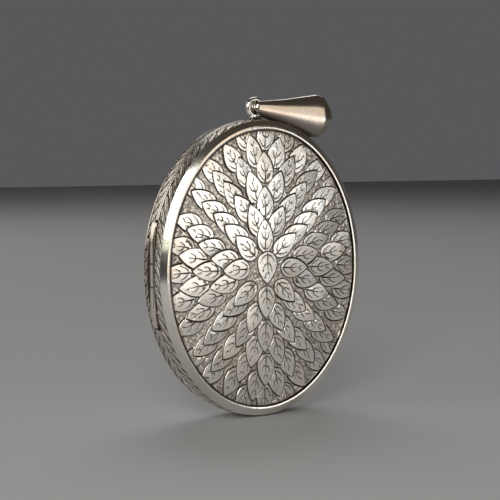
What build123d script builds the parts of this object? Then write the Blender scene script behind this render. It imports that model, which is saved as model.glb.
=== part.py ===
from build123d import *

import math
import os

# An oval hinged pendant case (locket form), in millimetres.
# +Z is up, the case stands on the lower end of its oval. X runs across the oval and Y through its
# thickness: the lid is on the -Y side, the fixed half on +Y, and they part on the plane Y = 0.
# The origin is on the parting plane, under the middle of the oval, at its lowest point.

# ---- driving dimensions ----
HALF_WIDTH = 18.8          # oval at the parting, half of its short axis
HALF_HEIGHT = 23.6         # half of its long axis
HALF_DEPTH = 3.4           # parting plane to the flat rim

RIM_OUTER = 1.10           # insets from the oval: outer and inner edge of the flat rim
RIM_INNER = 1.62
BEVEL_FOOT = 0.22          # inset where the plain bevel meets the engraved band
BEVEL_DEPTH = 0.72         # how far back the bevel reaches from the rim
BEZEL_DEPTH = 0.85         # whole height of the bezel
LEDGE_WIDTH = 0.70         # inner ledge that the panel rests on
LEDGE_THICK = 0.25

BAND_FOOT = 0.24           # inset of the band where the bezel sits on it
BAND_SHOULDER = 0.11       # inset of its barrelled middle
BAND_CREST = 0.05          # inset where the milled edge begins
CREST_DEPTH = 0.55         # upright stretch of the band beside the milled edge
SHOULDER_DEPTH = 0.80      # from the barrelled middle to the bezel
WALL = 0.75                # inset of the band's inner face
MILLED_WIDTH = 0.45        # width of the milled edge of each half
PARTING_GAP = 0.02         # from the parting plane to each milled edge

PANEL_PLAY = 0.02          # between the panel's edge and the rim
PANEL_RISE = 3.35          # crown of the panel, from the parting plane
PANEL_DOME = 960.0         # radius of its shallow dome

LINING = 0.20              # gilt sheet
LIP_THICK = 0.25           # inner lip that enters the lid
LIP_PLAY = 0.08
LIP_RISE = 0.40
LIP_ROOT = 1.00

CARD_THICK = 0.20
WINDOW_THICK = 0.30
FRAME_THICK = 0.28
FRAME_WALL = 0.47
FRAME_FLANGE = 1.41        # reach of the flange that holds the window
FRAME_HEIGHT = 0.60
STACK_PLAY = 0.02          # between card, window and frame
SET_PLAY = 0.05            # between those and the lining's wall

HINGE_X = -18.15           # hinge axis, on the parting plane
KNUCKLE_R = 0.60
PIN_R = 0.24
PIN_PLAY = 0.04            # between the pin and the lid's knuckle
NOTCH_PLAY = 0.12          # around the other half's knuckles
SLOT_HALF = 1.16           # half width of the slot that lets the halves swing past each other
SLOT_FLOOR = 0.05          # its floor, outside the axis
BARREL_SWELL = 0.30        # the barrel's ends are filed to the oval, this much outside it
HINGE_TOP = 7.80           # heights from the oval's centre
HINGE_UPPER = 1.45
HINGE_LOWER = -2.10
HINGE_BOTTOM = -8.50
KNUCKLE_GAP = 0.08
NOTCH_ENDS = 0.35

THUMB_R = 9.0              # arc of the thumb lip
THUMB_REACH = 0.35         # how far it stands out of the oval
CATCH_R = 0.20
CATCH_LENGTH = 2.4
CATCH_NOTCH = 3.2

RING_R = 1.27              # pendant ring, to the middle of its wire
RING_WIRE = 0.41
RING_RISE = 25.42          # its centre above the oval's centre
BASE_R = 1.35
BASE_NECK_R = 0.80
BASE_TOP = 0.55            # above the oval's top
BASE_FOOT = 0.60           # below the oval's top
BASE_CLEAR = 0.10          # above the lid

BAIL_TILT = -6.6           # degrees, from +X, of the bail lying on the right shoulder
BAIL_THICK = 0.45
BAIL_NEAR = 0.45           # centre and radius of the narrow end, from the ring's centre
BAIL_NEAR_R = 1.00
BAIL_FAR = 11.95           # centre and radius of the wide end
BAIL_FAR_R = 2.55
BAIL_EYE_WIDTH = 1.10      # its neck where it passes through the ring
BAIL_EYE_DEPTH = 0.60      # half length of that neck along Y
BAIL_TIP_HALF = 0.85       # half width of the narrow end
BAIL_NECK = 0.2            # distances from the ring's centre along the bail, and half widths there
BAIL_NECK_HALF = 1.00
BAIL_WAIST = 5.0
BAIL_WAIST_HALF = 2.00
BAIL_WIDEST = 10.4
BAIL_WIDEST_HALF = 3.50

BASE_STOCK = 1.0           # what the lid's side of the base is cut away by

CENTRE_Z = HALF_HEIGHT
RING_Z = CENTRE_Z + RING_RISE
BEZEL_BACK = HALF_DEPTH - BEZEL_DEPTH
LEDGE_TOP = BEZEL_BACK + LEDGE_THICK
MILLED_BACK = PARTING_GAP + MILLED_WIDTH
FLOOR = BEZEL_BACK - LINING
CARD_FACE = FLOOR - STACK_PLAY - CARD_THICK
WINDOW_FACE = CARD_FACE - STACK_PLAY - WINDOW_THICK
FRAME_BACK = WINDOW_FACE - STACK_PLAY


# ---- oval building blocks; depths are measured from the parting plane towards the lid's face ----
def oval(inset, depth):
    level = Plane(origin=(0, -depth, CENTRE_Z), x_dir=(1, 0, 0), z_dir=(0, -1, 0))
    return level * Ellipse(HALF_WIDTH - inset, HALF_HEIGHT - inset)


def slab(inset, back, front):
    return extrude(oval(inset, back), amount=front - back)


def ring(outer, inner, back, front):
    return slab(outer, back, front) - slab(inner, back, front)


def stack(sections):
    return loft([oval(inset, depth) for inset, depth in sections], ruled=True)


def bar(radius, low, high, x=HINGE_X, y=0.0):
    """An upright cylinder between two heights from the oval's centre."""
    middle = CENTRE_Z + (low + high) / 2
    return Pos(x, y, middle) * Cylinder(radius, high - low)


def to_back(shape):
    return mirror(shape, about=Plane.XZ)


# ---- one half of the case, as the lid has it ----
def make_panel():
    plate = slab(RIM_INNER + PANEL_PLAY, LEDGE_TOP, HALF_DEPTH)
    dome = Pos(0, PANEL_DOME - PANEL_RISE, CENTRE_Z) * Sphere(PANEL_DOME)
    return plate & dome


def make_bezel():
    body = stack([(BAND_FOOT, BEZEL_BACK), (BEVEL_FOOT, HALF_DEPTH - BEVEL_DEPTH), (RIM_OUTER, HALF_DEPTH)])
    seat = slab(RIM_INNER, LEDGE_TOP, HALF_DEPTH)
    window = slab(RIM_INNER + LEDGE_WIDTH, BEZEL_BACK, LEDGE_TOP)
    return body - seat - window


def make_band():
    crest = (BAND_CREST, MILLED_BACK)
    upper = (BAND_CREST, MILLED_BACK + CREST_DEPTH)
    shoulder = (BAND_SHOULDER, BEZEL_BACK - SHOULDER_DEPTH)
    foot = (BAND_FOOT, BEZEL_BACK)
    body = stack([crest, upper, shoulder, foot])
    return body - slab(WALL, MILLED_BACK, BEZEL_BACK)


def make_milled_edge():
    return ring(0.0, WALL, PARTING_GAP, MILLED_BACK)


def make_lining():
    dish = slab(WALL, PARTING_GAP, BEZEL_BACK)
    return dish - slab(WALL + LINING, PARTING_GAP, FLOOR)


# ---- what only one half has ----
def make_card():
    return slab(WALL + LINING + SET_PLAY, CARD_FACE, CARD_FACE + CARD_THICK)


def make_window():
    return slab(WALL + LINING + SET_PLAY, WINDOW_FACE, WINDOW_FACE + WINDOW_THICK)


def make_picture_frame():
    outer = WALL + LINING + SET_PLAY
    wall = ring(outer, outer + FRAME_WALL, FRAME_BACK - FRAME_HEIGHT, FRAME_BACK)
    flange = ring(outer, outer + FRAME_FLANGE, FRAME_BACK - FRAME_THICK, FRAME_BACK)
    return wall + flange


def make_lip():
    root = WALL + LINING
    inner = root + LIP_PLAY + LIP_THICK
    fixed = ring(root, inner, -LIP_ROOT, -PARTING_GAP)
    free = ring(root + LIP_PLAY, inner, -PARTING_GAP, LIP_RISE)
    return fixed + free


def make_thumb_lip():
    reach = Plane(origin=(0, -PARTING_GAP, CENTRE_Z), x_dir=(1, 0, 0), z_dir=(0, -1, 0))
    tip = HALF_WIDTH + THUMB_REACH
    disc = extrude(reach * Pos(tip - THUMB_R, 0) * Circle(THUMB_R), amount=MILLED_WIDTH)
    return disc - slab(0.0, 0.0, HALF_DEPTH)


def make_catch_bead():
    lip_face = HALF_WIDTH - WALL - LINING - LIP_PLAY
    bead = bar(CATCH_R, -CATCH_LENGTH / 2, CATCH_LENGTH / 2, x=lip_face, y=-LIP_RISE / 2)
    return bead - slab(WALL + LINING + LIP_PLAY, -LIP_ROOT, LIP_RISE)


def make_catch_notch():
    face = HALF_WIDTH - WALL
    return Pos(face - LINING / 2, 0, CENTRE_Z) * Box(2 * LINING, 2 * LIP_RISE, CATCH_NOTCH)


# ---- hinge ----
def make_knuckle(low, high, bore):
    filed = slab(-BARREL_SWELL, -KNUCKLE_R, KNUCKLE_R)
    return (bar(KNUCKLE_R, low, high) & filed) - bar(bore, low, high)


def make_hinge_pin():
    return bar(PIN_R, HINGE_BOTTOM, HINGE_TOP) & slab(-BARREL_SWELL, -KNUCKLE_R, KNUCKLE_R)


def hinge_span():
    return HINGE_BOTTOM - NOTCH_ENDS, HINGE_TOP + NOTCH_ENDS


def hinge_slot():
    """The open slot outside the axis, all along the barrel."""
    low, high = hinge_span()
    reach = HALF_WIDTH + HINGE_X + BARREL_SWELL
    middle = HINGE_X - SLOT_FLOOR - reach / 2
    return Pos(middle, 0, CENTRE_Z + (low + high) / 2) * Box(reach, 2 * SLOT_HALF, high - low)


def hinge_notch(other_spans):
    """What one half's walls give up to the barrel: a seat for its own knuckles, room for the others."""
    cut = bar(KNUCKLE_R, *hinge_span()) + hinge_slot()
    for low, high in other_spans:
        cut += bar(KNUCKLE_R + NOTCH_PLAY, low - KNUCKLE_GAP, high + KNUCKLE_GAP)
    return cut


# ---- pendant ring and bail ----
def make_pendant_ring():
    return Pos(0, 0, RING_Z) * Rot(90, 0, 0) * Torus(RING_R, RING_WIRE)


def make_pendant_base(pendant_ring):
    top = CENTRE_Z + HALF_HEIGHT
    height = BASE_TOP + BASE_FOOT
    cone = Pos(0, 0, top - BASE_FOOT + height / 2) * Cone(BASE_R, BASE_NECK_R, height)
    over_lid = Pos(0, PARTING_GAP - BASE_R, top) * Box(4 * BASE_R, 2 * BASE_R, 2 * BASE_CLEAR)
    under_lid = Pos(0, -BASE_R, top - BASE_STOCK) * Box(4 * BASE_R, 2 * BASE_R, 2 * BASE_STOCK)
    case_body = slab(0.0, -2 * BASE_R, 2 * BASE_R)
    return cone - over_lid - under_lid - case_body - pendant_ring


def bail_side(shrink):
    """Side view of the bail: two circles joined by their tangents."""
    near = BAIL_NEAR_R - shrink
    far = BAIL_FAR_R - shrink
    lean = math.asin((far - near) / (BAIL_FAR - BAIL_NEAR))
    points = []
    for centre, radius in ((BAIL_NEAR, near), (BAIL_FAR, far)):
        points.append((centre - radius * math.sin(lean), radius * math.cos(lean)))
    (near_x, near_y), (far_x, far_y) = points
    outline = Line((near_x, near_y), (far_x, far_y))
    outline += ThreePointArc((far_x, far_y), (BAIL_FAR + far, 0), (far_x, -far_y))
    outline += Line((far_x, -far_y), (near_x, -near_y))
    outline += ThreePointArc((near_x, -near_y), (BAIL_NEAR - near, 0), (near_x, near_y))
    return make_face(outline)


def bail_front():
    """Front view of the strip: a taper with a rounded wide end."""
    start = BAIL_NEAR - BAIL_NEAR_R
    end = BAIL_FAR + BAIL_FAR_R
    side = [
        (start, BAIL_TIP_HALF),
        (BAIL_NECK, BAIL_NECK_HALF),
        (BAIL_WAIST, BAIL_WAIST_HALF),
        (BAIL_WIDEST, BAIL_WIDEST_HALF),
    ]
    taper = make_face(Polyline(*side, *[(x, -y) for x, y in reversed(side)], close=True))
    return taper + Pos(BAIL_WIDEST, 0) * Ellipse(end - BAIL_WIDEST, BAIL_WIDEST_HALF)


def make_bail():
    loop = extrude(bail_side(0.0) - bail_side(BAIL_THICK), amount=2 * BAIL_WIDEST_HALF, both=True)
    front = Plane(origin=(0, 0, 0), x_dir=(1, 0, 0), z_dir=(0, -1, 0)) * bail_front()
    strip = loop & extrude(front, amount=2 * BAIL_FAR_R, both=True)
    for side in (-1, 1):
        middle = side * (BAIL_EYE_WIDTH / 2 + BAIL_NECK_HALF)
        strip -= Pos(0, 0, middle) * Box(2 * BAIL_NEAR_R, 2 * BAIL_EYE_DEPTH, 2 * BAIL_NECK_HALF)
    return Pos(0, 0, RING_Z) * Rot(0, -BAIL_TILT, 0) * strip


# ---- assembly ----
UPPER = (HINGE_UPPER + KNUCKLE_GAP / 2, HINGE_TOP)
MIDDLE = (HINGE_LOWER + KNUCKLE_GAP / 2, HINGE_UPPER - KNUCKLE_GAP / 2)
LOWER = (HINGE_BOTTOM, HINGE_LOWER - KNUCKLE_GAP / 2)


def make_nodes():
    lid_notch = hinge_notch([UPPER, LOWER])
    case_notch = hinge_notch([MIDDLE])
    pendant_ring = make_pendant_ring()
    nodes = {
        "lid_panel": make_panel(),
        "lid_bezel": make_bezel(),
        "lid_band": make_band() - lid_notch,
        "lid_milled_edge": make_milled_edge() - lid_notch,
        "lid_lining": make_lining() - lid_notch - make_catch_notch(),
        "picture_card": make_card(),
        "picture_window": make_window(),
        "picture_frame": make_picture_frame(),
        "thumb_lip": make_thumb_lip(),
        "lid_knuckle": make_knuckle(*MIDDLE, PIN_R + PIN_PLAY),
        "back_panel": to_back(make_panel()),
        "back_bezel": to_back(make_bezel()),
        "back_band": to_back(make_band()) - case_notch,
        "back_milled_edge": to_back(make_milled_edge()) - case_notch,
        "back_lining": to_back(make_lining()) - case_notch,
        "closing_lip": make_lip() - bar(KNUCKLE_R + NOTCH_PLAY, *hinge_span()),
        "catch_bead": make_catch_bead(),
        "upper_knuckle": make_knuckle(*UPPER, PIN_R),
        "lower_knuckle": make_knuckle(*LOWER, PIN_R),
        "hinge_pin": make_hinge_pin(),
        "pendant_base": make_pendant_base(pendant_ring),
        "pendant_ring": pendant_ring,
        "bail": make_bail(),
    }
    return nodes


def main():
    os.makedirs("parts", exist_ok=True)
    for name, shape in make_nodes().items():
        export_step(shape, f"parts/{name}.step")


main()
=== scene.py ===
import math

import bmesh
import bpy
import numpy as np
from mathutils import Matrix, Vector
from mathutils.geometry import delaunay_2d_cdt


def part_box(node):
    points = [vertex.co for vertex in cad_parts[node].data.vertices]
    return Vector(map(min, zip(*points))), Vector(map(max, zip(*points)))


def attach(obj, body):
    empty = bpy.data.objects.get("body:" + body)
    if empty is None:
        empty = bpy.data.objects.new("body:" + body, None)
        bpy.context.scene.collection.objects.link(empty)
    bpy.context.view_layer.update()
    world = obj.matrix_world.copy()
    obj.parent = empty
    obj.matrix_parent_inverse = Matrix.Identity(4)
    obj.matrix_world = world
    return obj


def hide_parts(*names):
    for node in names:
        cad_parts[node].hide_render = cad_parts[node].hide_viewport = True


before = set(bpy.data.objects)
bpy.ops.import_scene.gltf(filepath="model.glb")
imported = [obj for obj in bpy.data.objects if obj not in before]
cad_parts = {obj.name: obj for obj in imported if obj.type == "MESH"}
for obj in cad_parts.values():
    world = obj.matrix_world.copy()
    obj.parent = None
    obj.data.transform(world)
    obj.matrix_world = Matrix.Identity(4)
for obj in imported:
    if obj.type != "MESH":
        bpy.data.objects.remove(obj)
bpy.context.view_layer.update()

# Everything is worked out in millimetres and placed in metres.
MM = 0.001
# A point on the case is given by its height from the oval's centre and its depth from the parting
# plane: the lid's depths run towards -Y, the back's towards +Y.
LID, BACK = -1, 1


def node_box(name):
    low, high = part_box(name)
    return low / MM, high / MM


# ---- sizes read from the frame ----
milled_low, milled_high = node_box("back_milled_edge")
panel_low, panel_high = node_box("lid_panel")
bezel_low, bezel_high = node_box("lid_bezel")
band_low, band_high = node_box("lid_band")
HALF_WIDTH = milled_high.x
HALF_HEIGHT = (milled_high.z - milled_low.z) / 2
CENTRE_Z = (milled_high.z + milled_low.z) / 2
PANEL_INSET = HALF_WIDTH - panel_high.x
PANEL_CROWN = -panel_low.y
PANEL_FOOT = -panel_high.y
BEZEL_TOP = -bezel_low.y
BEZEL_FOOT = -bezel_high.y
BAND_TOP = -band_low.y
BAND_BASE = -band_high.y
PANEL_DOME = 960.0         # radius of the panels' shallow dome


# ---- camera ----
VIEW_AZIMUTH = -32.0
VIEW_ELEVATION = 4.5
VIEW_DISTANCE = 0.200
LENS = 91.4
AIM = Vector((0.0, -PANEL_CROWN * MM, CENTRE_Z * MM))
AIM_RIGHT = -0.00258       # the case stands a little right of the frame's middle and below it
AIM_UP = 0.00301


def direction(azimuth, elevation):
    """Towards where a viewer at these angles stands: 0, 0 is in front of the lid."""
    a, e = math.radians(azimuth), math.radians(elevation)
    return Vector((math.sin(a) * math.cos(e), -math.cos(a) * math.cos(e), math.sin(e)))


def face_along(thing, away):
    thing.rotation_mode = "QUATERNION"
    thing.rotation_quaternion = (-away).to_track_quat("-Z", "Y")
    bpy.context.scene.collection.objects.link(thing)


def make_camera():
    back = direction(VIEW_AZIMUTH, VIEW_ELEVATION)
    right = direction(VIEW_AZIMUTH + 90, 0)
    up = back.cross(right)
    data = bpy.data.cameras.new("camera")
    data.lens = LENS
    data.clip_start = 0.01
    camera = bpy.data.objects.new("camera", data)
    camera.location = AIM + back * VIEW_DISTANCE + right * AIM_RIGHT + up * AIM_UP
    face_along(camera, back)
    bpy.context.scene.camera = camera


make_camera()


# ---- studio ----
def add_light(name, azimuth, elevation, distance, size, radiance, colour):
    away = direction(azimuth, elevation)
    data = bpy.data.lights.new(name, "AREA")
    data.shape = "RECTANGLE"
    data.size, data.size_y = size
    data.energy = radiance * math.pi * size[0] * size[1]
    data.color = colour
    light = bpy.data.objects.new(name, data)
    light.location = AIM + away * distance
    light.visible_camera = False
    face_along(light, away)


def add_flag(name, azimuth, distance, width, top):
    """A dark card that stands on the floor, out of the camera's sight, for the silver to mirror."""
    away, right = direction(azimuth, 0), direction(azimuth + 90, 0)
    mesh = bpy.data.meshes.new(name)
    corners = [away * distance + right * (side * width / 2) + Vector((0, 0, height))
               for height in (0.0, top) for side in (-1, 1)]
    mesh.from_pydata(corners, [], [(0, 1, 3, 2)])
    card = bpy.data.objects.new(name, mesh)
    s = Shader(name)
    mesh.materials.append(s.finish((0.02, 0.025, 0.03, 1.0), 0.9, metallic=0.0))
    bpy.context.scene.collection.objects.link(card)
    card.visible_camera = card.visible_diffuse = card.visible_shadow = False


def make_studio():
    world = bpy.data.worlds.new("studio")
    world.use_nodes = True
    tree = world.node_tree
    # The room is pale grey behind the case and dark and warm at its sides.
    behind = tree.nodes.new("ShaderNodeVectorMath")
    behind.operation = "DOT_PRODUCT"
    behind.inputs[1].default_value = direction(VIEW_AZIMUTH + 180, 0)
    ramp = tree.nodes.new("ShaderNodeValToRGB")
    walls = ((0.0, (0.060, 0.062, 0.060)), (0.45, (0.050, 0.042, 0.032)),
             (0.80, (0.055, 0.050, 0.043)), (0.93, (0.098, 0.099, 0.104)))
    while len(ramp.color_ramp.elements) < len(walls):
        ramp.color_ramp.elements.new(0.5)
    for element, (position, colour) in zip(ramp.color_ramp.elements, walls):
        element.position = position
        element.color = (*colour, 1.0)
    share = tree.nodes.new("ShaderNodeMapRange")
    share.inputs["From Min"].default_value = -1.0
    tree.links.new(tree.nodes.new("ShaderNodeTexCoord").outputs["Generated"], behind.inputs[0])
    tree.links.new(behind.outputs["Value"], share.inputs["Value"])
    tree.links.new(share.outputs["Result"], ramp.inputs["Fac"])
    tree.links.new(ramp.outputs["Color"], tree.nodes["Background"].inputs["Color"])
    bpy.context.scene.world = world
    bpy.context.scene.view_settings.view_transform = "Standard"
    add_light("key_high", 17.5, 18.2, 0.24, (0.102, 0.095), 0.95, (1.0, 0.87, 0.73))
    add_light("key_left", 14.5, -0.5, 0.24, (0.070, 0.062), 1.50, (1.0, 0.88, 0.75))
    add_light("key_middle", 28.0, -0.5, 0.24, (0.044, 0.062), 1.75, (0.97, 0.99, 1.0))
    add_light("key_right", 34.5, 1.0, 0.25, (0.024, 0.022), 2.6, (0.97, 0.99, 1.0))
    add_light("upper_left", -41.0, 27.0, 0.45, (0.20, 0.26), 5.0, (0.98, 1.0, 0.99))
    add_light("left_low", -47.0, 8.5, 0.45, (0.16, 0.05), 0.75, (0.88, 0.97, 0.72))
    add_light("left_strip", -90.0, 17.0, 0.90, (0.60, 0.48), 1.7, (1.0, 1.0, 0.97))
    add_light("back_key", 205.0, 18.0, 0.60, (0.50, 0.26), 1.1, (1.0, 0.96, 0.90))
    add_light("back_top", 150.0, 55.0, 0.80, (0.60, 0.45), 1.6, (1.0, 0.99, 0.97))
    add_flag("left_flag", -50.0, 0.17, 0.20, 0.038)


# ---- materials ----
class Shader:
    """A material's node tree, with short names for the nodes it is built from."""

    def __init__(self, name):
        self.material = bpy.data.materials.new(name)
        self.material.use_nodes = True
        self.tree = self.material.node_tree
        self.principled = self.tree.nodes["Principled BSDF"]
        self.place = self.tree.nodes.new("ShaderNodeTexCoord").outputs["Object"]

    def link(self, source, target):
        self.tree.links.new(source, target)
        return target

    def feed(self, node, name, value):
        socket = node.inputs[name]
        if isinstance(value, bpy.types.NodeSocket):
            self.link(value, socket)
        else:
            socket.default_value = value

    def node(self, kind, output, **values):
        made = self.tree.nodes.new(kind)
        for name, value in values.items():
            self.feed(made, name, value)
        return made.outputs[output]

    def stretched(self, scale):
        made = self.tree.nodes.new("ShaderNodeMapping")
        self.link(self.place, made.inputs["Vector"])
        made.inputs["Scale"].default_value = scale
        return made.outputs["Vector"]

    def noise(self, scale, detail=3.0, vector=None):
        return self.node("ShaderNodeTexNoise", "Fac", Vector=vector or self.place, Scale=scale, Detail=detail)

    def ramp(self, value, stops):
        made = self.tree.nodes.new("ShaderNodeValToRGB")
        self.link(value, made.inputs["Fac"])
        elements = made.color_ramp.elements
        while len(elements) < len(stops):
            elements.new(0.5)
        for element, (position, colour) in zip(elements, stops):
            element.position = position
            element.color = (*colour, 1.0)
        return made.outputs["Color"]

    def grey(self, value, low, high, start=0.0, end=1.0):
        """The value moved from the range start..end to low..high."""
        made = self.tree.nodes.new("ShaderNodeMapRange")
        for name, number in (("From Min", start), ("From Max", end), ("To Min", low), ("To Max", high)):
            made.inputs[name].default_value = number
        self.link(value, made.inputs["Value"])
        return made.outputs["Result"]

    def mix(self, factor, first, second):
        made = self.tree.nodes.new("ShaderNodeMix")
        made.data_type = "RGBA"
        for index, value in ((0, factor), (6, first), (7, second)):
            if isinstance(value, bpy.types.NodeSocket):
                self.link(value, made.inputs[index])
            elif index == 0:
                made.inputs[index].default_value = value
            else:
                made.inputs[index].default_value = (*value, 1.0)
        return made.outputs[2]

    def math(self, operation, first, second):
        made = self.tree.nodes.new("ShaderNodeMath")
        made.operation = operation
        for socket, value in zip(made.inputs, (first, second)):
            if isinstance(value, bpy.types.NodeSocket):
                self.link(value, socket)
            else:
                socket.default_value = value
        return made.outputs[0]

    def attribute(self, name):
        made = self.tree.nodes.new("ShaderNodeAttribute")
        made.attribute_name = name
        return made.outputs["Fac"]

    def bump(self, height, strength, distance, normal=None):
        made = self.tree.nodes.new("ShaderNodeBump")
        made.inputs["Strength"].default_value = strength
        made.inputs["Distance"].default_value = distance * MM
        self.link(height, made.inputs["Height"])
        if normal:
            self.link(normal, made.inputs["Normal"])
        return made.outputs["Normal"]

    def finish(self, colour=None, roughness=None, normal=None, metallic=1.0):
        self.principled.inputs["Metallic"].default_value = metallic
        for name, value in (("Base Color", colour), ("Roughness", roughness), ("Normal", normal)):
            if value is not None:
                self.feed(self.principled, name, value)
        return self.material


SILVER = (0.92, 0.89, 0.84)
WARM_SILVER = (0.90, 0.84, 0.76)
TARNISH = (0.075, 0.052, 0.034)
GILT = (0.88, 0.69, 0.43)
GILT_DARK = (0.38, 0.26, 0.13)


TARNISH_REACH = (0.03, 0.60)    # from bright silver to wholly dark, on the scale of the tarnish attribute


def make_silver(name, roughness, patina, scratch, grain=0.0, tint=SILVER, dark=TARNISH):
    """Old silver or gilt: bright where rubbed, brown where the tarnish attribute or the noise says. On the
    bail's lower side that attribute holds painted shade, elsewhere patina.
    """
    s = Shader(name)
    tarnish = s.grey(s.attribute("tarnish"), 0.0, 1.0, *TARNISH_REACH)
    clouds = s.noise(260.0, 4.0)
    fine = s.noise(2600.0, 3.0)
    yellowed = tuple(c * w for c, w in zip(tint, (0.97, 0.92, 0.85)))
    tone = s.mix(s.grey(clouds, 0.0, 1.0, 0.35, 0.70), tint, yellowed)
    bloom = s.math("MULTIPLY", s.grey(fine, 0.0, 1.0, 0.50, 0.75), patina)
    amount = s.math("MINIMUM", s.math("ADD", tarnish, bloom), 1.0)
    colour = s.mix(amount, tone, dark)
    rough = s.math("ADD", s.grey(clouds, roughness * 0.8, roughness * 1.3), s.grey(amount, 0.0, 0.30))
    scratches = s.noise(900.0, 2.0, s.stretched((1.0, 1.0, 14.0)))
    crossing = s.noise(800.0, 2.0, s.stretched((12.0, 1.0, 1.5)))
    normal = s.bump(s.math("ADD", scratches, crossing), scratch, 0.02)
    if grain:
        normal = s.bump(fine, grain, 0.03, normal)
    return s.finish(colour, rough, normal)


def make_card_paper():
    s = Shader("aged_card")
    fibres = s.noise(3000.0, 5.0, s.stretched((1.0, 1.0, 4.0)))
    stains = s.noise(90.0, 4.0)
    foxing = [(0.30, (0.62, 0.50, 0.34)), (0.55, (0.78, 0.70, 0.55)), (0.75, (0.82, 0.76, 0.63))]
    base = s.ramp(stains, foxing)
    colour = s.mix(s.grey(fibres, 0.0, 0.35), base, (0.52, 0.42, 0.29))
    return s.finish(colour, 0.85, s.bump(fibres, 0.5, 0.02), metallic=0.0)


def make_glass():
    s = Shader("window_glass")
    s.principled.inputs["Transmission Weight"].default_value = 1.0
    s.principled.inputs["IOR"].default_value = 1.48
    haze = s.noise(140.0, 4.0)
    ripple = s.noise(60.0, 2.0)
    colour = s.mix(s.grey(haze, 0.0, 0.5), (0.97, 0.97, 0.94), (0.90, 0.89, 0.84))
    return s.finish(colour, s.grey(haze, 0.02, 0.10, 0.4, 0.8), s.bump(ripple, 0.15, 0.03), metallic=0.0)


MATERIALS = {
    "engraved": make_silver("engraved_silver", 0.20, 0.08, 0.10, grain=0.15),
    "polished": make_silver("polished_silver", 0.15, 0.06, 0.035),
    "worn": make_silver("worn_silver", 0.16, 0.14, 0.06, tint=(0.72, 0.67, 0.62)),
    "chased": make_silver("chased_silver", 0.26, 0.15, 0.12, grain=0.2),
    "milled": make_silver("milled_silver", 0.20, 0.06, 0.06),
    "hinge": make_silver("hinge_silver", 0.15, 0.06, 0.05, tint=WARM_SILVER),
    "gilt": make_silver("gilt_silver", 0.30, 0.25, 0.12, tint=GILT, dark=GILT_DARK),
    "card": make_card_paper(),
    "glass": make_glass(),
}


# ---- mesh helpers ----
def add_piece(name, vertices, faces, body, material, replaced, sharp=35.0, tarnish=None):
    """A finished piece, from vertices in millimetres, that stands for the replaced nodes."""
    mesh = bpy.data.meshes.new(name)
    mesh.from_pydata((np.asarray(vertices, float) * MM).tolist(), [], [list(map(int, f)) for f in faces])
    mesh.validate()
    values = np.zeros(len(vertices)) if tarnish is None else tarnish
    layer = mesh.attributes.new("tarnish", "FLOAT", "POINT")
    layer.data.foreach_set("value", np.asarray(values, np.float32))
    form = bmesh.new()
    form.from_mesh(mesh)
    bmesh.ops.recalc_face_normals(form, faces=form.faces)
    form.to_mesh(mesh)
    form.free()
    mesh.shade_smooth()
    mesh.set_sharp_from_angle(angle=math.radians(sharp))
    mesh.materials.append(MATERIALS[material])
    piece = bpy.data.objects.new(name, mesh)
    bpy.context.scene.collection.objects.link(piece)
    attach(piece, body)
    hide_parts(*replaced)


def rounded(corners, steps=4):
    """A closed outline from (x, y, radius) corners, each turned into an arc of that radius."""
    outline = []
    count = len(corners)
    for i, (x, y, radius) in enumerate(corners):
        here = np.array((x, y))
        before = np.array(corners[i - 1][:2]) - here
        after = np.array(corners[(i + 1) % count][:2]) - here
        before_length, after_length = np.linalg.norm(before), np.linalg.norm(after)
        before, after = before / before_length, after / after_length
        half_turn = math.acos(np.clip(before @ after, -1, 1)) / 2
        if radius <= 0 or half_turn > math.radians(88):
            outline.append((x, y))
            continue
        reach = min(radius / math.tan(half_turn), 0.45 * before_length, 0.45 * after_length)
        radius = reach * math.tan(half_turn)
        middle = here + (before + after) / np.linalg.norm(before + after) * radius / math.sin(half_turn)
        first, last = here + before * reach - middle, here + after * reach - middle
        for k in range(steps + 1):
            mixed = first * (1 - k / steps) + last * (k / steps)
            outline.append(tuple(middle + mixed / np.linalg.norm(mixed) * radius))
    return outline


def grid_faces(rows, columns, wrap_rows, wrap_columns):
    faces = []
    for i in range(rows if wrap_rows else rows - 1):
        for j in range(columns if wrap_columns else columns - 1):
            a, b = i * columns + j, i * columns + (j + 1) % columns
            c, d = ((i + 1) % rows) * columns + (j + 1) % columns, ((i + 1) % rows) * columns + j
            faces.append((a, b, c, d))
    return faces


def on_oval(angle, inset, depth, side):
    height = CENTRE_Z + (HALF_HEIGHT - inset) * np.sin(angle)
    return (HALF_WIDTH - inset) * np.cos(angle), side * depth, height


def sweep_oval(profile, side, segments=480, start=0.0, end=2 * math.pi, shape=None):
    """A profile of (inset, depth) points carried round the oval, whole or from one angle to another."""
    whole = end - start >= 2 * math.pi - 1e-9
    angles = start + (end - start) * np.arange(segments + (not whole)) / segments
    vertices = []
    for angle in angles:
        for inset, depth in profile:
            if shape:
                inset, depth = shape(angle, inset, depth)
            vertices.append(on_oval(angle, inset, depth, side))
    faces = grid_faces(len(angles), len(profile), whole, True)
    if not whole:
        faces.append(tuple(range(len(profile))))
        last = (len(angles) - 1) * len(profile)
        faces.append(tuple(range(last + len(profile) - 1, last - 1, -1)))
    return vertices, faces


# ---- engraved leaves ----
CUT_HALF = 0.125           # half width of an outline cut
CUT_DEPTH = 0.10
CUT_STEP = 0.15            # spacing of the points along a cut
FACE_STEP = 0.42           # spacing of the points on a leaf's face
GROUND_STEP = 0.20         # spacing of the stippling between the leaves
GROUND_DROP = 0.13
STIPPLE = 0.07
LEAF_DROP = 0.05
LEAF_TILT = 0.022          # slope of a leaf's face, at most
WIDTH_RISE, WIDTH_FALL = 0.52, 0.86
SKIN = 0.002               # everything lies at least this far under the sheet's outer face
RUBBED = 0.05              # tarnish on the edge of a cut that lies on another leaf
WALL_TARNISH = 0.5         # tarnish on the hidden walls of a sheet
PANEL_CROWN_RISE, BAND_CROWN_RISE = 0.02, 0.045    # how far a leaf's middle stands over its sides

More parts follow.
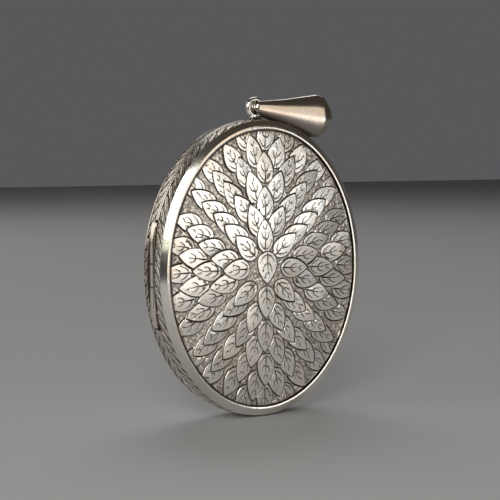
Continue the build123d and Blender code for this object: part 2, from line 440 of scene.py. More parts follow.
# Veins, in shares of the leaf's length and half width: the midrib, then one side of each pair.
MIDRIB = ((0.03, 0.0), (0.20, 0.03), (0.40, 0.0), (0.58, 0.04))
MIDRIB_WIDTH = (0.34, 0.10)
BASE_PAIR = ((0.10, 0.10), (0.15, 0.40), (0.24, 0.58), (0.34, 0.68))
MIDDLE_PAIR = ((0.36, 0.06), (0.42, 0.28), (0.50, 0.42), (0.56, 0.46))
TIP_PAIR = ((0.66, 0.06), (0.69, 0.22), (0.75, 0.30))
PAIR_WIDTH = (0.27, 0.11)
VEIN_DEPTH = 0.30          # depth of a vein for its width


def leaf_width(s):
    peak = WIDTH_RISE / (WIDTH_RISE + WIDTH_FALL)
    return (s / peak) ** WIDTH_RISE * ((1 - s) / (1 - peak)) ** WIDTH_FALL


def new_leaf(centre, angle, length, half, bend, tilt, tone):
    along = np.array((math.cos(angle), math.sin(angle)))
    across = np.array((-along[1], along[0]))
    return {
        "centre": np.array(centre, float), "base": np.array(centre) - along * length / 2,
        "along": along, "across": across, "length": length, "half": half,
        "bend": bend, "tilt": np.array(tilt), "tone": tone,
    }


def leaf_plane(leaf, s, t):
    """Shares of a leaf's length and half width, to the plane that it is engraved on."""
    sideways = t * leaf["half"] + leaf["bend"] * s * s
    return leaf["base"] + np.outer(s * leaf["length"], leaf["along"]) + np.outer(sideways, leaf["across"])


def evenly(points, step):
    lengths = np.linalg.norm(np.diff(points, axis=0), axis=1)
    run = np.concatenate(([0.0], np.cumsum(lengths)))
    at = np.linspace(0, run[-1], max(2, round(run[-1] / step)) + 1)
    return np.stack([np.interp(at, run, points[:, k]) for k in (0, 1)], axis=1)


def leaf_outline(leaf):
    """A closed outline from the base, up one side to the tip and down the other, without its last point."""
    s = (1 - np.cos(np.linspace(0, math.pi, 60))) / 2
    up = evenly(leaf_plane(leaf, s, -leaf_width(s)), CUT_STEP)
    down = evenly(leaf_plane(leaf, s[::-1], leaf_width(s[::-1])), CUT_STEP)
    return np.concatenate((up[:-1], down[:-1]))


def inside_distance(points, loop):
    """Distance from each point to a closed outline, above zero inside it."""
    start, end = loop, np.roll(loop, -1, axis=0)
    span = end - start
    offset = points[:, None, :] - start[None]
    share = np.clip((offset * span).sum(2) / np.maximum((span * span).sum(1), 1e-12), 0, 1)
    gap = np.linalg.norm(offset - share[..., None] * span[None], axis=2).min(1)
    x, y = points[:, :1], points[:, 1:]
    crosses = (start[:, 1] > y) != (end[:, 1] > y)
    level = start[:, 0] + (y - start[:, 1]) * span[:, 0] / np.where(span[:, 1] == 0, 1e-12, span[:, 1])
    inside = (crosses & (x < level)).sum(1) % 2 == 1
    return np.where(inside, gap, -gap)


def outward(loop):
    run = np.roll(loop, -1, axis=0) - np.roll(loop, 1, axis=0)
    run /= np.linalg.norm(run, axis=1)[:, None]
    return np.stack((run[:, 1], -run[:, 0]), axis=1)


def stroke_rows(path, width, step=0.13):
    """A cut's bottom line and its two edges; its width tapers from the first value to the second."""
    line = evenly(path, step)
    share = np.linspace(0, 1, len(line))
    half = (width[0] + (width[1] - width[0]) * share) / 2 * np.minimum(1, 4 * share + 0.45)
    run = np.gradient(line, axis=0)
    run /= np.linalg.norm(run, axis=1)[:, None]
    side = np.stack((-run[:, 1], run[:, 0]), axis=1) * half[:, None]
    return line, half, np.concatenate((line + side, line - side))


class Engraving:
    """The points of an engraved sheet, and what each one is, gathered leaf by leaf."""

    def __init__(self, seed):
        self.random = np.random.default_rng(seed)
        self.rows = []

    def add(self, points, maker, level, tarnish, depth=0.0):
        """level says what the depth is measured from: the maker's own face, or whatever lies under it."""
        count = len(points)
        columns = [points, np.full(count, maker), np.full(count, level), np.broadcast_to(tarnish, count),
                   np.broadcast_to(depth, count)]
        self.rows.append([np.array(c, float) for c in columns])

    def gather(self):
        self.points, self.maker, self.level, self.tarnish, self.depth = (
            np.concatenate([row[k] for row in self.rows]) for k in range(5))

    def keep(self, mask):
        for key in ("points", "maker", "level", "tarnish", "depth"):
            setattr(self, key, getattr(self, key)[mask])


OWN, UNDER, GROUND, BORDER = 0, 1, 2, 3


def engrave_leaf(sheet, index, leaf, veins):
    loop = leaf_outline(leaf)
    normal = outward(loop)
    random = sheet.random
    heavy = 1 + 0.45 * (normal @ leaf["across"]) * leaf["tone"] + 0.12 * random.standard_normal(len(loop))
    cut = CUT_HALF * np.clip(heavy, 0.7, 1.6)
    sheet.add(loop, index, OWN, 1.0, CUT_DEPTH * np.clip(heavy, 0.75, 1.5))
    inner = loop - normal * cut[:, None]
    sheet.add(inner[inside_distance(inner, loop) > 0.8 * cut], index, OWN, 0.05)
    sheet.add(loop + normal * cut[:, None], index, UNDER, 0.25)
    strokes = []
    for path, width in veins(leaf, random):
        line, half, edges = stroke_rows(path, width)
        room = inside_distance(line, loop) > half + CUT_HALF
        line, half = line[room], half[room]
        edges = edges[np.concatenate((room, room))]
        if not len(line):
            continue
        if strokes:
            placed = np.concatenate(strokes)
            free = np.linalg.norm(line[:, None] - placed[None], axis=2).min(1) > 0.13
            loose = np.linalg.norm(edges[:, None] - placed[None], axis=2).min(1) > 0.12
            line, half, edges = line[free], half[free], edges[loose]
        sheet.add(line, index, OWN, 0.95, 2 * half * VEIN_DEPTH)
        sheet.add(edges, index, OWN, 0.08)
        strokes += [line, edges]
    low, high = loop.min(0), loop.max(0)
    u, v = np.meshgrid(np.arange(low[0], high[0], FACE_STEP), np.arange(low[1], high[1], FACE_STEP))
    fill = np.stack((u.ravel(), v.ravel()), axis=1) + random.uniform(-0.1, 0.1, (u.size, 2))
    fill = fill[inside_distance(fill, loop) > CUT_HALF + 0.14]
    if strokes and len(fill):
        fill = fill[np.linalg.norm(fill[:, None] - np.concatenate(strokes)[None], axis=2).min(1) > 0.17]
    sheet.add(fill, index, OWN, 0.0)
    return loop


def face_height(leaf, points):
    offset = points - leaf["centre"]
    crown = leaf["crown"] * (1 - (offset @ leaf["across"] / leaf["half"]) ** 2)
    return -LEAF_DROP + offset @ leaf["tilt"] + np.clip(crown, -1, 1)


def stippled(sheet):
    return -GROUND_DROP - STIPPLE * sheet.random.random(len(sheet.points))


def resolve(sheet, leaves, loops, ground=stippled):
    """Drops what a leaf on top hides, and works out the height of every point."""
    sheet.gather()
    under = np.full(len(sheet.points), -1)
    keep = np.ones(len(sheet.points), bool)
    rank = np.where(sheet.level >= GROUND, len(leaves), sheet.maker)
    for j, (leaf, loop) in enumerate(zip(leaves, loops)):
        reach = leaf["length"] * 0.55 + 0.5
        near = np.flatnonzero((np.abs(sheet.points - leaf["centre"]) < reach).all(1) & (sheet.level < BORDER))
        gap = inside_distance(sheet.points[near], loop)
        hidden = (rank[near] > j) & (gap > -(CUT_HALF * 1.25 + 0.05))
        keep[near[hidden]] = False
        free = near[(gap > 0) & (under[near] < 0) & (rank[near] < j)]
        under[free] = j
    base = ground(sheet)
    for j, leaf in enumerate(leaves):
        lower = under == j
        base[lower] = face_height(leaf, sheet.points[lower])
    height = base.copy()
    for j, leaf in enumerate(leaves):
        own = (sheet.maker == j) & (sheet.level == OWN)
        height[own] = face_height(leaf, sheet.points[own]) - sheet.depth[own]
    border = sheet.level == BORDER
    height[border] = -sheet.depth[border]
    sheet.height = np.minimum(height, -SKIN)[keep]
    sheet.tarnish = np.where((sheet.level == UNDER) & (under >= 0), RUBBED, sheet.tarnish)
    sheet.keep(keep)


def triangulate(points, edges=()):
    made = delaunay_2d_cdt([Vector(p) for p in points.tolist()], list(edges), [], 0, 1e-6, True)
    source = [origin[0] if origin else None for origin in made[3]]
    faces = [tuple(source[v] for v in face) for face in made[2]]
    faces = np.array([face for face in faces if None not in face])
    a, b, c = points[faces[:, 0]], points[faces[:, 1]], points[faces[:, 2]]
    turn = (b[:, 0] - a[:, 0]) * (c[:, 1] - a[:, 1]) - (b[:, 1] - a[:, 1]) * (c[:, 0] - a[:, 0])
    faces[turn < 0] = faces[turn < 0][:, ::-1]
    return faces[np.abs(turn) > 1e-7]


# ---- panels: a whorl of leaves round one that points down ----
GROOVE_ROWS = ((0.0, 0.30), (0.11, 0.34), (0.24, 0.06))    # inset from the panel's edge, depth
LEAF_LENGTH, LEAF_HALF = 5.15, 1.57
CENTRE_LEAF_LENGTH, CENTRE_LEAF_HALF = 5.2, 1.84
RING_PITCH = 2.65          # each ring of leaves lies this far outside the last one
RING_STEP = 4              # leaves that each ring has more than the last one
PLACE_PLAY = 0.18          # how far a leaf may stray from its place


def whorl(half_width, half_height, random):
    """Middles of the leaves, ring by ring from the innermost out, as far as the oval reaches."""
    places = []
    for ring in range(2, math.ceil(half_height / RING_PITCH) + 1):
        count = RING_STEP * ring
        for i in range(count):
            angle = math.pi / 2 + 2 * math.pi * (i + (ring % 2) / 2) / count
            x, y = RING_PITCH * ring * np.array((math.cos(angle), math.sin(angle)))
            if math.hypot(x / half_width, y / half_height) < 1:
                places.append((x, y) + random.uniform(-PLACE_PLAY, PLACE_PLAY, 2))
    return places


def whorl_angle(x, y):
    """Leaves point along the oval's normals, and the inner ones more nearly along their radius."""
    lean = 1 + 0.7 * np.clip((math.hypot(x, y) - 4) / 5, 0, 1)
    return math.atan2(y, x * lean)


def leaf_veins(leaf, random):
    def placed(path, side=1.0):
        s, t = np.array(path).T
        wobble = random.uniform(-0.03, 0.03, 2)
        return leaf_plane(leaf, s + wobble[0], (t * side + wobble[1]) * leaf_width(np.clip(s, 0.1, 0.9)))

    strokes = [(placed(MIDRIB), MIDRIB_WIDTH)]
    for pair in (BASE_PAIR, MIDDLE_PAIR, TIP_PAIR):
        for side in (-1, 1):
            if pair is TIP_PAIR and random.random() < 0.35:
                continue
            strokes.append((placed(pair, side), PAIR_WIDTH))
    return strokes


def oval_row(half_width, half_height, step):
    angles = np.linspace(0, 2 * math.pi, 4000)
    row = evenly(np.stack((half_width * np.cos(angles), half_height * np.sin(angles)), axis=1), step)
    return row[:-1]


def scatter(low, high, step, random, jitter=0.4):
    u, v = np.meshgrid(np.arange(low[0], high[0], step), np.arange(low[1], high[1], step))
    return np.stack((u.ravel(), v.ravel()), axis=1) + random.uniform(-jitter, jitter, (u.size, 2)) * step


def make_panel(name, body, side, seed):
    half_width, half_height = HALF_WIDTH - PANEL_INSET, HALF_HEIGHT - PANEL_INSET
    sheet = Engraving(seed)
    random = sheet.random
    leaves = [new_leaf((0.25, 0.2), math.radians(-90), CENTRE_LEAF_LENGTH, CENTRE_LEAF_HALF, 0.0,
                       (0.004, 0.004), 0.2)]
    for x, y in whorl(half_width, half_height, random):
        leaves.append(new_leaf(
            (x, y), whorl_angle(x, y) + random.uniform(-0.05, 0.05),
            LEAF_LENGTH + random.uniform(-0.25, 0.25),
            LEAF_HALF + random.uniform(-0.08, 0.08), random.uniform(-0.22, 0.22),
            random.uniform(-LEAF_TILT, LEAF_TILT, 2), random.uniform(-1, 1)))
    for leaf in leaves:
        leaf["crown"] = PANEL_CROWN_RISE
    loops = [engrave_leaf(sheet, i, leaf, leaf_veins) for i, leaf in enumerate(leaves)]
    stipple = scatter((-half_width, -half_height), (half_width, half_height), GROUND_STEP, random)
    sheet.add(stipple, -1, GROUND, 0.04 + 0.46 * random.random(len(stipple)))
    sheet.gather()
    last_inset = GROOVE_ROWS[-1][0] + 0.06
    x, y = sheet.points.T
    inside = (x / (half_width - last_inset)) ** 2 + (y / (half_height - last_inset)) ** 2 < 1
    sheet.keep(inside)
    sheet.rows = [[sheet.points, sheet.maker, sheet.level, sheet.tarnish, sheet.depth]]
    borders = []
    for inset, depth in GROOVE_ROWS:
        row = oval_row(half_width - inset, half_height - inset, 0.16)
        borders.append(len(row))
        sheet.add(row, -2, BORDER, 0.9 if depth > 0.1 else 0.3, depth)
    resolve(sheet, leaves, loops)
    faces = triangulate(sheet.points)
    u, v = sheet.points.T
    depth = PANEL_CROWN - (u * u + v * v) / (2 * PANEL_DOME) + sheet.height
    rim = np.flatnonzero(sheet.level == BORDER)[:borders[0]]
    count = len(u)
    u, v = np.concatenate((u, u[rim])), np.concatenate((v, v[rim]))
    depth = np.concatenate((depth, np.full(len(rim), PANEL_FOOT)))
    vertices = np.stack((-side * u, side * depth, CENTRE_Z + v), axis=1)
    foot = count + np.arange(len(rim))
    walls = [(rim[i - 1], foot[i - 1], foot[i], rim[i]) for i in range(len(rim))]
    tarnish = np.concatenate((sheet.tarnish, np.full(len(rim), WALL_TARNISH)))
    faces = faces.tolist() + walls + [tuple(foot[::-1])]
    add_piece(name + "_engraved", vertices, faces, body, "engraved", [name], 30, tarnish)


def build_panels():
    for node, body, side, seed in (("lid_panel", "lid", LID, 11), ("back_panel", "case", BACK, 23)):
        make_panel(node, body, side, seed)


# ---- hinge sizes ----
upper_low, upper_high = node_box("upper_knuckle")
middle_low, middle_high = node_box("lid_knuckle")
lower_low, lower_high = node_box("lower_knuckle")
pin_low, pin_high = node_box("hinge_pin")
HINGE_X = (pin_low.x + pin_high.x) / 2
KNUCKLE_R = (middle_high.x - middle_low.x) / 2
PIN_R = (pin_high.x - pin_low.x) / 2
NOTCH_ENDS = 0.35
NOTCH_PLAY = 0.12
PIN_PLAY = 0.04
SLOT_HALF = 1.16           # the open slot along the barrel, and where it starts outside the axis
SLOT_FLOOR = 0.05
BARREL_SWELL = 0.30        # the barrel's ends are filed to the oval, this much outside it
HINGE_BOTTOM = lower_low.z - CENTRE_Z - NOTCH_ENDS
HINGE_TOP = upper_high.z - CENTRE_Z + NOTCH_ENDS
KNUCKLES = (("upper", "case", upper_low.z, upper_high.z), ("middle", "lid", middle_low.z, middle_high.z),
            ("lower", "case", lower_low.z, lower_high.z))


# ---- bezels and milled edges ----
RIM_OUTER, RIM_INNER = 1.09, 1.62
RIM_CROWN = 0.03
BEVEL_DEPTH = 0.72
LEDGE = 0.70


def worn(angle, inset, depth):
    """Faint waves along a polished edge, as hand finishing and wear leave them."""
    wave = math.sin(23 * angle + 1.3) + math.sin(41 * angle + 0.4) + 0.7 * math.sin(67 * angle)
    return inset + 0.004 * wave, depth - 0.003 * abs(wave)


def make_bezel(name, body, side):
    profile = rounded([
        (0.24, BEZEL_FOOT, 0.0), (0.22, BEZEL_TOP - BEVEL_DEPTH, 0.04),
        (RIM_OUTER, BEZEL_TOP - RIM_CROWN, 0.05),
        ((RIM_OUTER + RIM_INNER) / 2, BEZEL_TOP, 0.30), (RIM_INNER, BEZEL_TOP - RIM_CROWN, 0.04),
        (RIM_INNER, PANEL_FOOT, 0.0), (RIM_INNER + LEDGE, PANEL_FOOT, 0.04),
        (RIM_INNER + LEDGE, BEZEL_FOOT, 0.0)])
    vertices, faces = sweep_oval(profile, side, shape=worn)
    stations = len(vertices) // len(profile)
    tarnish = [0.6 if inset > RIM_INNER - 0.01 else 0.0 for inset, _ in profile] * stations
    add_piece(name + "_polished", vertices, faces, body, "polished", [name], 50, tarnish)


ROPE_TWISTS = 300
ROPE_STEPS = 6
ROPE_DEPTH = 0.03


def make_milled_edge(name, body, side):
    low, high = milled_low.y, milled_high.y
    width = high - low
    rows = np.linspace(0, 1, 7)
    outer = [(0.05 * (2 * r - 1) ** 2, low + width * r) for r in rows]
    profile = outer + [(0.75, high), (0.75, low)]
    start = math.pi + math.asin(-HINGE_BOTTOM / HALF_HEIGHT)
    end = 3 * math.pi - math.asin(HINGE_TOP / HALF_HEIGHT)

    def rope(angle, inset, depth):
        if inset > 0.5:
            return inset, depth
        share = (depth - low) / width
        turn = ROPE_TWISTS * angle + side * 2.2 * share * math.pi
        return inset + ROPE_DEPTH * (0.5 - 0.5 * math.cos(turn)) * math.sin(math.pi * share), depth

    segments = round(ROPE_TWISTS * ROPE_STEPS * (end - start) / (2 * math.pi))
    vertices, faces = sweep_oval(profile, side, segments, start, end, rope)
    tarnish = []
    for x, y, z in vertices:
        reach = math.hypot(x / HALF_WIDTH, (z - CENTRE_Z) / HALF_HEIGHT)
        tarnish.append(min(1.0, max(0.0, (1 - reach) * HALF_WIDTH - 0.02) * 14))
    add_piece(name + "_rope", vertices, faces, body, "milled", [name], 60, tarnish)


# ---- bands: a wheat ear of slanting leaves ----
BAND_LEAVES = 70
BAND_LEAN = math.radians(31)
BAND_LENGTH, BAND_HALF = 3.7, 0.44
BAND_PROFILE = np.array((
    (0.05, BAND_BASE), (0.05, BAND_BASE + 0.55), (0.11, BAND_TOP - 0.8), (0.24, BAND_TOP)))
BAND_RUN = np.concatenate(([0.0], np.cumsum(np.linalg.norm(np.diff(BAND_PROFILE, axis=0), axis=1))))
BAND_WIDTH = BAND_RUN[-1]
BAND_WALL = 0.75
EDGE_STEP = 0.16
CUT_SLOPE = 0.85           # reach of the bright-cut slopes between the leaves


def oval_angles():
    """Arc length round the band's outer face, and the angle there."""
    angles = np.linspace(0, 2 * math.pi, 7201)
    x, z = (HALF_WIDTH - 0.1) * np.cos(angles), (HALF_HEIGHT - 0.1) * np.sin(angles)
    run = np.concatenate(([0.0], np.cumsum(np.hypot(np.diff(x), np.diff(z)))))
    return run, angles


RUN, RUN_ANGLES = oval_angles()
BAND_LOOP = RUN[-1]


def band_start(s, body):
    """Where the band begins, across it: at the milled edge, or clear of the hinge's barrel."""
    angle = np.interp(s, RUN, RUN_ANGLES)
    height = HALF_HEIGHT * np.sin(angle)
    if np.cos(angle) > 0 or not HINGE_BOTTOM < height < HINGE_TOP:
        return 0.0
    reach = (HALF_WIDTH - 0.05) * np.cos(angle) - HINGE_X
    if reach < -SLOT_FLOOR:
        depth = SLOT_HALF
    else:
        own = any(owner == body and low < height + CENTRE_Z < high for _, owner, low, high in KNUCKLES)
        radius = KNUCKLE_R - 0.01 if own else KNUCKLE_R + NOTCH_PLAY
        depth = math.sqrt(max(0.0, radius ** 2 - reach ** 2))
    return float(np.interp(max(depth, BAND_BASE), BAND_PROFILE[:, 1], BAND_RUN))


def band_veins(leaf, random):
    strokes = [(leaf_plane(leaf, np.array((0.08, 0.4, 0.80)), np.array((0.0, 0.04, 0.0))), (0.20, 0.08))]
    for s in (0.30, 0.48, 0.64):
        for side in (-1, 1):
            path = leaf_plane(leaf, np.array((s, s + 0.10)), np.array((0.18, 0.62)) * side * leaf_width(s))
            strokes.append((path, (0.12, 0.06)))
    return strokes


def bright_cut(sheet):
    """Between the leaves the band is cut to a slope that faces the bezel."""
    slope = np.clip((sheet.points[:, 1] - BAND_WIDTH + CUT_SLOPE) / CUT_SLOPE, 0, 1)
    return -0.06 - 0.02 * sheet.random.random(len(slope)) - 0.34 * slope


def make_band(name, body, side, seed):
    sheet = Engraving(seed)
    random = sheet.random
    pitch = BAND_LOOP / BAND_LEAVES
    leaves = []
    for copy in range(-4, BAND_LEAVES + 4):
        wobble = np.random.default_rng(seed + copy % BAND_LEAVES).uniform(-1, 1, 6)
        centre = (pitch * (copy + 0.5) + 0.06 * wobble[0], BAND_WIDTH / 2 + 0.05 * wobble[1])
        leaves.append(new_leaf(
            centre, BAND_LEAN + 0.04 * wobble[2], BAND_LENGTH, BAND_HALF + 0.03 * wobble[3],
            0.25, (0.0, 0.01 * wobble[4]), wobble[5]))
        leaves[-1]["crown"] = BAND_CROWN_RISE
    loops = [engrave_leaf(sheet, i, leaf, band_veins) for i, leaf in enumerate(leaves)]
    stipple = scatter((-5.0, 0.0), (BAND_LOOP + 5.0, BAND_WIDTH), GROUND_STEP, random)
    clean = (stipple[:, 1] > BAND_WIDTH - CUT_SLOPE) * 0.7
    sheet.add(stipple, -1, GROUND, (0.65 + 0.35 * random.random(len(stipple))) * (1 - clean))
    sheet.gather()
    starts = np.array([band_start(s % BAND_LOOP, body) for s in sheet.points[:, 0]])
    sheet.keep((sheet.points[:, 1] > starts + 0.10) & (sheet.points[:, 1] < BAND_WIDTH - 0.10))
    sheet.rows = [[sheet.points, sheet.maker, sheet.level, sheet.tarnish, sheet.depth]]
    count = round(BAND_LOOP / EDGE_STEP)
    at = BAND_LOOP * np.arange(count) / count
    low_edge = np.stack((at, [band_start(s, body) for s in at]), axis=1)
    high_edge = np.stack((at, np.full(count, BAND_WIDTH)), axis=1)
    for edge in (low_edge, high_edge):
        sheet.add(edge, -2, BORDER, 0.5, 0.02)
    resolve(sheet, leaves, loops, bright_cut)
    inside = (sheet.points[:, 0] >= 0) & (sheet.points[:, 0] < BAND_LOOP)
    sheet.height = sheet.height[inside]
    sheet.keep(inside)
    # The strip is triangulated with a copy of each end beyond the other, and wrapped round.
    margin = 3.0
    source = np.arange(len(sheet.points))
    before = source[sheet.points[:, 0] > BAND_LOOP - margin]
    after = source[sheet.points[:, 0] < margin]
    order = np.concatenate((before, source, after))
    shift = np.repeat((-BAND_LOOP, 0.0, BAND_LOOP), (len(before), len(source), len(after)))
    plane = sheet.points[order] + np.stack((shift, np.zeros(len(shift))), axis=1)
    border = np.flatnonzero(sheet.level[order] == BORDER)
    edges = []
    upper = plane[border, 1] >= BAND_WIDTH - 1e-6
    for row in (border[~upper], border[upper]):
        row = row[np.argsort(plane[row, 0], kind="stable")]
        edges += list(zip(row[:-1].tolist(), row[1:].tolist()))
    faces = triangulate(plane, edges)
    middle = plane[faces].mean(axis=1)
    foot = np.append(low_edge[:, 1], low_edge[0, 1])
    lows = np.interp(middle[:, 0] % BAND_LOOP, np.append(at, BAND_LOOP), foot)
    faces = faces[(middle[:, 0] >= 0) & (middle[:, 0] < BAND_LOOP) & (middle[:, 1] > lows)]
    faces = order[faces]
    angle = np.interp(sheet.points[:, 0], RUN, RUN_ANGLES)
    inset = np.interp(sheet.points[:, 1], BAND_RUN, BAND_PROFILE[:, 0]) - sheet.height
    depth = np.interp(sheet.points[:, 1], BAND_RUN, BAND_PROFILE[:, 1])
    vertices = np.stack(np.broadcast_arrays(*on_oval(angle, inset, depth, side)), axis=1)
    rims = np.flatnonzero(sheet.level == BORDER)
    low_rim, high_rim = rims[:count], rims[count:]
    inner = []
    for rim in (low_rim, high_rim):
        wall = on_oval(angle[rim], BAND_WALL, depth[rim], side)
        inner.append(np.stack(np.broadcast_arrays(*wall), axis=1))
    total = len(vertices)
    low_inner, high_inner = total + np.arange(count), total + count + np.arange(count)
    walls = []
    for i in range(count):
        j = (i + 1) % count
        walls.append((low_rim[i], low_rim[j], low_inner[j], low_inner[i]))
        walls.append((high_rim[i], high_rim[j], high_inner[j], high_inner[i]))
        walls.append((low_inner[i], low_inner[j], high_inner[j], high_inner[i]))
    vertices = np.concatenate([vertices] + inner)
    tarnish = np.concatenate((sheet.tarnish, np.full(2 * count, WALL_TARNISH)))
    faces = faces.tolist() + walls
    add_piece(name + "_chased", vertices, faces, body, "chased", [name], 32, tarnish)


def build_rims():
    for half, body, side, seed in (("lid", "lid", LID, 300), ("back", "case", BACK, 700)):
        make_bezel(half + "_bezel", body, side)
        make_milled_edge(half + "_milled_edge", body, side)
        make_band(half + "_band", body, side, seed)


# ---- hinge ----
def lathe(profile, x, y, segments=56):
    """A closed (radius, height) profile turned about an upright axis."""
    vertices = []
    for i in range(segments):
        a = 2 * math.pi * i / segments
        vertices += [(x + r * math.cos(a), y + r * math.sin(a), z) for r, z in profile]
    return vertices, grid_faces(segments, len(profile), True, True)


def filed(x, z):
    """The barrel's ends are filed back to an oval a little outside the case."""
    share = (z - CENTRE_Z) / (HALF_HEIGHT + BARREL_SWELL)
    return max(x, -(HALF_WIDTH + BARREL_SWELL) * math.sqrt(1 - share ** 2))


def build_hinge():
    chamfer, blind = 0.06, 2.0
    for name, body, low, high in KNUCKLES:
        bore = PIN_R + (PIN_PLAY if body == "lid" else 0.0)
        closed_low, closed_high = low + blind * (name == "lower"), high - blind * (name == "upper")
        corners = [(bore, closed_low, 0.0)]
        if name == "lower":
            corners += [(0.0005, closed_low, 0.0), (0.0005, low, 0.0)]
        corners += [(KNUCKLE_R - chamfer, low, 0.02)]
        corners += [(KNUCKLE_R, z, 0.0) for z in np.linspace(low + chamfer, high - chamfer, 40)]
        corners += [(KNUCKLE_R - chamfer, high, 0.02)]
        if name == "upper":
            corners += [(0.0005, high, 0.0), (0.0005, closed_high, 0.0)]
        corners += [(bore, closed_high, 0.0)]
        vertices, faces = lathe(rounded(corners, 3), HINGE_X, 0.0)
        vertices = [(filed(x, z), y, z) for x, y, z in vertices]
        ends = [min(z - low, high - z) for x, y, z in vertices]
        node = "lid_knuckle" if name == "middle" else name + "_knuckle"
        tarnish = [max(0.0, 0.9 - 12 * end) for end in ends]
        add_piece(node + "_tube", vertices, faces, body, "hinge", [node], tarnish=tarnish)
    low, high = pin_low.z + blind, pin_high.z - blind
    head = 0.10
    profile = [(0.001, low), (PIN_R * 0.6, low + 0.01), (PIN_R * 0.9, low + 0.04), (PIN_R, low + head)]
    profile += [(PIN_R, high - head), (PIN_R * 0.9, high - 0.04), (PIN_R * 0.6, high - 0.01), (0.001, high)]
    vertices, faces = lathe(profile, HINGE_X, 0.0, 32)
    add_piece("hinge_pin_wire", vertices, faces, "case", "hinge", ["hinge_pin"])


# ---- thumb lip ----
def build_thumb_lip():
    low, high = node_box("thumb_lip")
    arc = 9.0
    half = (high.z - low.z) / 2
    front, back = -low.y, -high.y
    vertices, sections = [], 61
    for i in range(sections):
        height = half * (2 * i / (sections - 1) - 1) * 0.995
        tip = high.x - arc + math.sqrt(arc ** 2 - height ** 2)
        root = HALF_WIDTH * math.sqrt(1 - (height / HALF_HEIGHT) ** 2) - 0.12
        grip = 0.035 * (0.5 - 0.5 * math.cos(2 * math.pi * i / 5))
        tip = max(tip - grip, root + 0.02)
        soft = min(0.12, (tip - root) * 0.45)
        outline = rounded([(root, back, 0), (tip, back, soft), (tip, front, soft), (root, front, 0)], 4)
        vertices += [(x, -y, CENTRE_Z + height) for x, y in outline]
    columns = len(vertices) // sections
    faces = grid_faces(sections, columns, False, True)
    faces += [tuple(range(columns)), tuple(range((sections - 1) * columns, sections * columns))]
    add_piece("thumb_lip_grip", vertices, faces, "lid", "polished", ["thumb_lip"])


# ---- pendant ring, base and bail ----
ring_low, ring_high = node_box("pendant_ring")
RING_WIRE = (ring_high.y - ring_low.y) / 2
RING_R = (ring_high.x - ring_low.x) / 2 - RING_WIRE
RING_Z = (ring_low.z + ring_high.z) / 2


def build_ring():
    around, section = 112, 28
    vertices = []
    for i in range(around):
        a = 2 * math.pi * i / around
        for j in range(section):
            b = 2 * math.pi * j / section
            wire = RING_WIRE * (0.975 + 0.025 * math.cos(3 * a + 2 * b))
            # the bail has rubbed the inside of the wire flat
            rubbed = 1 - 0.10 * max(0.0, -math.cos(b)) ** 4
            r = RING_R + wire * math.cos(b) * rubbed
            vertices.append((r * math.cos(a), wire * math.sin(b), RING_Z + r * math.sin(a)))
    add_piece("pendant_ring_wire", vertices, grid_faces(around, section, True, True), "case", "polished",
              ["pendant_ring"])


def build_pendant_base():
    low, high = node_box("pendant_base")
    segments, rows = 64, 14
    foot, neck = high.x, 0.80
    clear = 0.10
    vertices = []
    for k in range(rows):
        rise = k / (rows - 1)
        for i in range(segments):
            a = 2 * math.pi * i / segments
            radius = neck + (foot - neck) * (1 - rise) ** 2.2
            x, y = radius * math.cos(a), radius * math.sin(a)
            y = max(y, -radius * 0.93)
            seat = CENTRE_Z + HALF_HEIGHT * math.sqrt(1 - (x / HALF_WIDTH) ** 2)
            seat += clear * min(1.0, max(0.0, -(y - 0.02) * 40))
            vertices.append((x, y, seat + (high.z - seat) * rise))
    faces = grid_faces(rows, segments, False, True)
    faces += [tuple(range(segments)), tuple(range((rows - 1) * segments, rows * segments))]
    crevice = [0.5 * (1 - k / (rows - 1)) ** 3 for k in range(rows) for _ in range(segments)]
    add_piece("pendant_base_flare", vertices, faces, "case", "polished", ["pendant_base"],
              tarnish=crevice)


# The bail is a strip folded into a loop: a narrow end through the ring and a wide one.
BAIL_TILT = math.radians(-6.6)
BAIL_THICK = 0.45
NEAR, NEAR_R = 0.45, 1.00
FAR, FAR_R = 11.95, 2.55
EYE_HALF = 0.53            # half width of the neck in the ring
TAPER = ((-0.55, 0.85), (0.2, 1.00), (5.0, 2.00), (10.4, 3.46), (12.8, 3.16), (14.5, 2.30))
BAIL_CROWN = 0.34          # rise of the crown, as a share of the half width
FOLD_CROWN = 0.66


def bail_path(count):
    """The loop's outer line from the side, with its outward normals."""
    lean = math.asin((FAR_R - NEAR_R) / (FAR - NEAR))
    points = []
    quarter = math.pi / 2
    for a in np.linspace(math.pi, math.pi + quarter - lean, 40):
        points.append((NEAR + NEAR_R * math.cos(a), NEAR_R * math.sin(a)))
    for a in np.linspace(-quarter - lean, quarter + lean, 120):
        points.append((FAR + FAR_R * math.cos(a), FAR_R * math.sin(a)))
    for a in np.linspace(quarter + lean, math.pi, 40):
        points.append((NEAR + NEAR_R * math.cos(a), NEAR_R * math.sin(a)))
    path = evenly(np.array(points), 0.02)
    run = np.linspace(0, len(path) - 1, count + 1)[:-1]
    path = np.stack([np.interp(run, np.arange(len(path)), path[:, k]) for k in (0, 1)], axis=1)
    along = np.roll(path, -1, axis=0) - np.roll(path, 1, axis=0)
    along /= np.linalg.norm(along, axis=1)[:, None]
    return path, np.stack((along[:, 1], -along[:, 0]), axis=1)


def ease(value):
    value = min(1.0, max(0.0, value))
    return value * value * (3 - 2 * value)


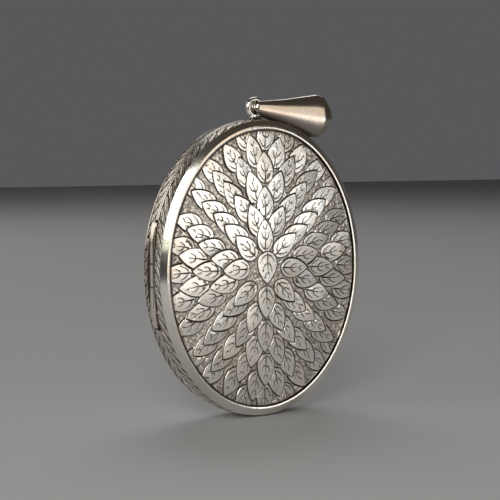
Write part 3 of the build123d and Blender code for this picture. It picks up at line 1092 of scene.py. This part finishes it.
def build_bail():
    count, across = 260, 23
    path, normal = bail_path(count)
    stations, halves = zip(*TAPER)
    vertices, tarnish = [], []
    for (x, y), (nx, ny) in zip(path, normal):
        half = float(np.interp(x, stations, halves))
        if x < 1.6:
            half = EYE_HALF + (half - EYE_HALF) * ease((abs(y) - 0.62) / 0.30 + max(0.0, x - 1.0))
        fold = ease((x - 11.5) / 3.0)
        crown = half * (BAIL_CROWN + (FOLD_CROWN - BAIL_CROWN) * fold)
        section = []
        for k in range(across):
            share = math.sin(math.pi / 2 * (2 * k / (across - 1) - 1))
            drop = crown * (1 - math.sqrt(1 - 0.86 * share ** 2)) / (1 - math.sqrt(1 - 0.86))
            soft = 0.12 * (1 - math.sqrt(max(0.0, 1 - max(0.0, (abs(share) - 0.965) / 0.035) ** 2)))
            # the front's lower side gets painted shade in the tarnish attribute: a darkening that stands for
            # the dark reflection it mirrors below
            section.append((share * half, drop + soft, 0.34 * ease(-share * 2 - 0.2)))
        for k in reversed(range(across)):
            z, drop, _ = section[k]
            thick = BAIL_THICK * (0.75 if k in (0, across - 1) else 0.95)
            section.append((z * (1 - 0.03), drop + thick, 0.75))
        for z, inward, patina_and_painted_shade in section:
            vertices.append((x - nx * inward, y - ny * inward, z))
            tarnish.append(patina_and_painted_shade)
    faces = grid_faces(count, 2 * across, True, True)
    cos, sin = math.cos(BAIL_TILT), math.sin(BAIL_TILT)
    placed = [(x * cos - z * sin, y, RING_Z + x * sin + z * cos) for x, y, z in vertices]
    add_piece("bail_strip", placed, faces, "bail", "worn", ["bail"], 60, tarnish)


# ---- inside ----
def build_picture_frame():
    low, high = node_box("picture_frame")
    outer = HALF_WIDTH - high.x
    back, front = -low.y, -high.y
    profile = rounded([
        (outer, back, 0), (outer, front, 0.08), (outer + 0.42, front, 0.14),
        (outer + 0.70, front + 0.32, 0.10),
        (outer + 1.15, front + 0.36, 0.08), (outer + 1.40, back - 0.12, 0.05),
        (outer + 1.40, back, 0)])

    def beaded(angle, inset, depth):
        if outer + 0.05 < inset < outer + 0.6:
            depth += 0.05 * (0.5 - 0.5 * math.cos(150 * angle))
        return inset, depth

    vertices, faces = sweep_oval(profile, LID, 900, shape=beaded)
    add_piece("picture_frame_beaded", vertices, faces, "lid", "gilt", ["picture_frame"], 50)


KEPT_NODES = {
    "lid_lining": "gilt", "back_lining": "gilt", "closing_lip": "gilt", "catch_bead": "gilt",
    "picture_card": "card", "picture_window": "glass",
}


def dress_kept_nodes():
    for name, material in KEPT_NODES.items():
        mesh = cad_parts[name].data
        mesh.materials.clear()
        mesh.materials.append(MATERIALS[material])


# ---- floor ----
def make_floor():
    size = 1.2
    mesh = bpy.data.meshes.new("floor")
    corners = [(-size, -size, 0), (size, -size, 0), (size, size, 0), (-size, size, 0)]
    mesh.from_pydata(corners, [], [(0, 1, 2, 3)])
    floor = bpy.data.objects.new("floor", mesh)
    s = Shader("floor")
    floor.data.materials.append(s.finish((0.52, 0.52, 0.53, 1.0), 0.6, metallic=0.0))
    bpy.context.scene.collection.objects.link(floor)


make_studio()
make_floor()
build_panels()
build_rims()
build_hinge()
build_thumb_lip()
build_ring()
build_pendant_base()
build_bail()
build_picture_frame()
dress_kept_nodes()
